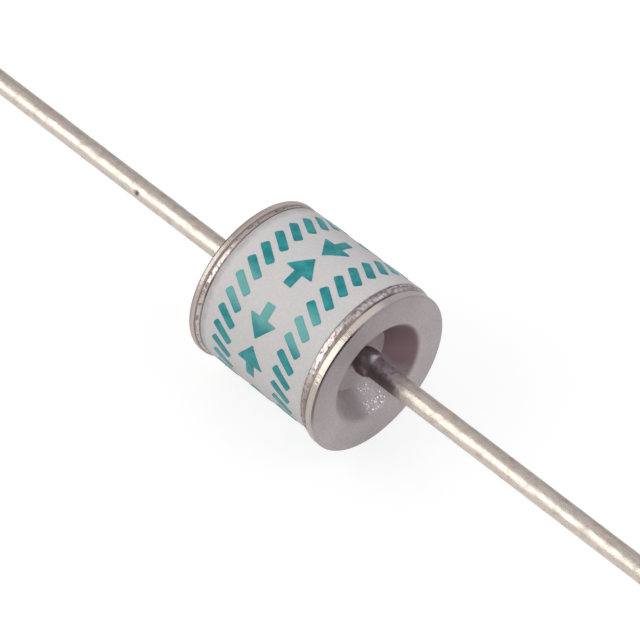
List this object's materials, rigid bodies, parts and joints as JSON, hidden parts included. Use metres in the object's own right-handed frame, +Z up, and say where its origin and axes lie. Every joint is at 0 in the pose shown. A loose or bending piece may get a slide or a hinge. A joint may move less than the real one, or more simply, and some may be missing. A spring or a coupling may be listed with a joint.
{
  "type": "gas discharge tube",
  "caption": "Gas discharge tube: a white ceramic sleeve between metal electrode caps, with a straight wire lead from each end, that diverts voltage surges.",
  "frame": {"origin": "middle of the spark gap, on the axis of the tube and its leads", "axes": "+X along the leads towards the right-hand electrode, +Z up, +Y away from the front"},
  "size_m": [0.06, 0.008, 0.008],
  "materials": {
    "alumina": "satin",
    "braze": "satin",
    "plated_electrode": "matte",
    "emission_coat": "matte",
    "graphite": "matte",
    "tinned_wire": "satin",
    "teal_ink": "satin"
  },
  "bodies": {
    "root": {"ceramic_tube": "alumina", "left_braze_ring": "braze", "right_braze_ring": "braze", "left_electrode": "plated_electrode", "right_electrode": "plated_electrode", "left_emission_coat": "emission_coat", "right_emission_coat": "emission_coat", "ignition_strips": "graphite", "left_lead": "tinned_wire", "right_lead": "tinned_wire", "printed_dashes": "teal_ink"}
  },
  "joints": []
}
